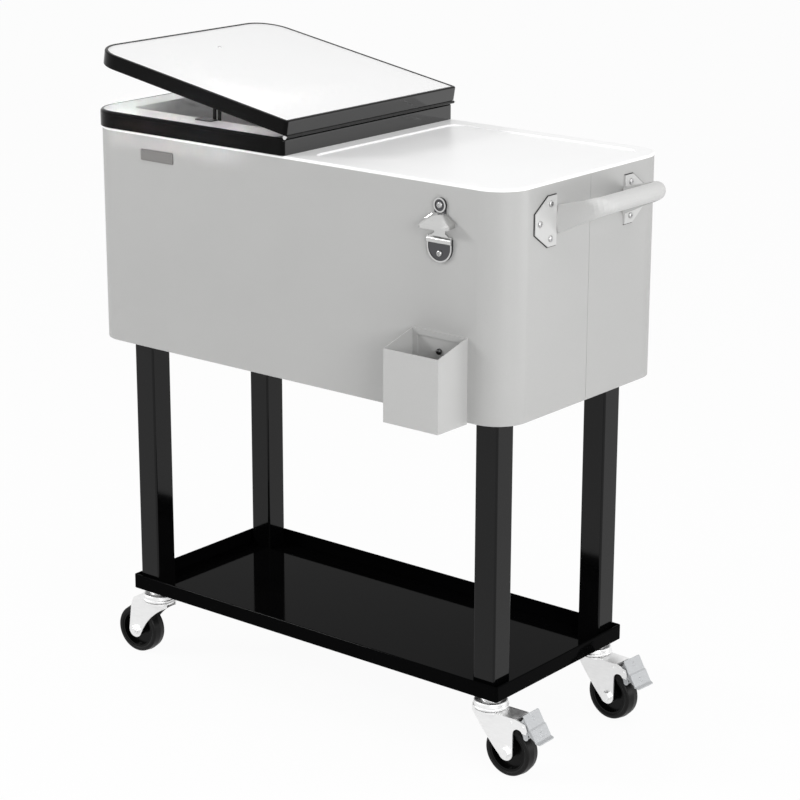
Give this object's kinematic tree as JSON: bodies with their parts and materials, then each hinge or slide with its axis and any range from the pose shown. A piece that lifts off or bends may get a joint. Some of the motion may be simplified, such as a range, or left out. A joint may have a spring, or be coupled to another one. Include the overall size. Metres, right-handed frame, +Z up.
{
  "type": "wheeled cooler",
  "caption": "Insulated patio cooler box with a half lid on a four-legged rolling cart with a tray, a push handle, a wall bottle opener and a cap catcher.",
  "frame": {"origin": "middle of the ground rectangle under the whole cooler, at wheel contact height", "axes": "+X towards the push handle, +Y from the bottle opener side to the plain side, +Z up"},
  "size_m": [0.8987, 0.4606, 1.0004],
  "materials": {
    "shell_paint": "silver-grey powder coat with a fine satin texture",
    "pan": "plain galvanised sheet",
    "foam": "rigid insulating foam, unfinished",
    "liner": "light moulded plastic, satin",
    "deck": "white powder coat, smooth",
    "gloss_black": "gloss black moulding",
    "lid_top": "white powder coat, smooth",
    "gasket": "soft black rubber",
    "hinge": "black coated steel",
    "rod": "plain steel rod",
    "stay": "black coated steel",
    "screws": "zinc plated",
    "handle": "silver-grey powder coat, satin",
    "opener": "cast metal, satin nickel plating",
    "catcher": "silver-grey powder coat, satin",
    "cart_paint": "black powder coat, satin",
    "plug": "black moulded plastic",
    "drain": "light moulded plastic",
    "drain_cap": "black moulded plastic",
    "zinc": "bright zinc plated sheet",
    "tyre": "black rubber tread",
    "hub": "black moulded plastic"
  },
  "bodies": {
    "cart": {"outer_shell": "shell_paint", "shell_bottom": "pan", "foam_insulation": "foam", "inner_liner": "liner", "opening_collar": "liner", "top_deck": "deck", "lid_frame": "gloss_black", "frame_hinge_leaf": "hinge", "hinge_rod": "rod", "stay_keeper": "stay", "handle_tube": "handle", "handle_flanges": "handle", "handle_screws": "screws", "bottle_opener": "opener", "opener_screws": "screws", "cap_catcher": "catcher", "catcher_screws": "screws", "leg_sockets": "plug", "leg_inserts": "plug", "tray": "cart_paint", "drain_spout": "drain", "drain_seal": "gasket", "leg_front_left": "cart_paint", "mount_front_left": "zinc", "leg_front_right": "cart_paint", "mount_front_right": "zinc", "leg_rear_left": "cart_paint", "mount_rear_left": "zinc", "leg_rear_right": "cart_paint", "mount_rear_right": "zinc"},
    "lid": {"lid_skirt": "gloss_black", "lid_panel": "lid_top", "lid_foam": "foam", "lid_liner": "liner", "lid_gasket": "gasket", "lid_hinge_leaf": "hinge", "lid_stay": "stay", "lid_screws": "screws"},
    "drain_plug": {"drain_cap": "drain_cap"},
    "caster_front_left": {"fork_front_left": "zinc", "axle_front_left": "zinc"},
    "wheel_front_left": {"tyre_front_left": "tyre", "hub_front_left": "hub"},
    "caster_front_right": {"fork_front_right": "zinc", "axle_front_right": "zinc"},
    "wheel_front_right": {"tyre_front_right": "tyre", "hub_front_right": "hub"},
    "pedal_front_right": {"brake_front_right": "zinc"},
    "caster_rear_left": {"fork_rear_left": "zinc", "axle_rear_left": "zinc"},
    "wheel_rear_left": {"tyre_rear_left": "tyre", "hub_rear_left": "hub"},
    "caster_rear_right": {"fork_rear_right": "zinc", "axle_rear_right": "zinc"},
    "wheel_rear_right": {"tyre_rear_right": "tyre", "hub_rear_right": "hub"},
    "pedal_rear_right": {"brake_rear_right": "zinc"}
  },
  "joints": [
    {"name": "lid_hinge", "type": "hinge", "parent": "cart", "child": "lid", "pos_m": [-0.0275, 0.03175, 0.90845], "axis": [0, 1, 0], "range_deg": [-9.8, 75.2]},
    {"name": "drain_turn", "type": "hinge", "parent": "cart", "child": "drain_plug", "pos_m": [-0.3225, 0.03175, 0.532], "axis": [0, 0, 1], "continuous": true},
    {"name": "swivel_front_left", "type": "hinge", "parent": "cart", "child": "caster_front_left", "pos_m": [-0.3705, -0.10175, 0.0967], "axis": [0, 0, 1], "continuous": true},
    {"name": "roll_front_left", "type": "hinge", "parent": "caster_front_left", "child": "wheel_front_left", "pos_m": [-0.40941, -0.10447, 0.04], "axis": [0.0698, -0.9976, 0], "continuous": true},
    {"name": "swivel_front_right", "type": "hinge", "parent": "cart", "child": "caster_front_right", "pos_m": [0.3055, -0.10175, 0.0967], "axis": [0, 0, 1], "continuous": true},
    {"name": "roll_front_right", "type": "hinge", "parent": "caster_front_right", "child": "wheel_front_right", "pos_m": [0.34449, -0.10107, 0.04], "axis": [-0.0175, 0.9998, 0], "continuous": true},
    {"name": "brake_press_front_right", "type": "hinge", "parent": "caster_front_right", "child": "pedal_front_right", "pos_m": [0.37449, -0.10055, 0.0872], "axis": [-0.0175, 0.9998, 0], "range_deg": [0, 10]},
    {"name": "swivel_rear_left", "type": "hinge", "parent": "cart", "child": "caster_rear_left", "pos_m": [-0.3705, 0.16525, 0.0967], "axis": [0, 0, 1], "continuous": true},
    {"name": "roll_rear_left", "type": "hinge", "parent": "caster_rear_left", "child": "wheel_rear_left", "pos_m": [-0.40921, 0.1605, 0.04], "axis": [0.1219, -0.9925, 0], "continuous": true},
    {"name": "swivel_rear_right", "type": "hinge", "parent": "cart", "child": "caster_rear_right", "pos_m": [0.3055, 0.16525, 0.0967], "axis": [0, 0, 1], "continuous": true},
    {"name": "roll_rear_right", "type": "hinge", "parent": "caster_rear_right", "child": "wheel_rear_right", "pos_m": [0.34441, 0.16253, 0.04], "axis": [0.0698, 0.9976, 0], "continuous": true},
    {"name": "brake_press_rear_right", "type": "hinge", "parent": "caster_rear_right", "child": "pedal_rear_right", "pos_m": [0.37433, 0.16044, 0.0872], "axis": [0.0698, 0.9976, 0], "range_deg": [0, 10]}
  ]
}
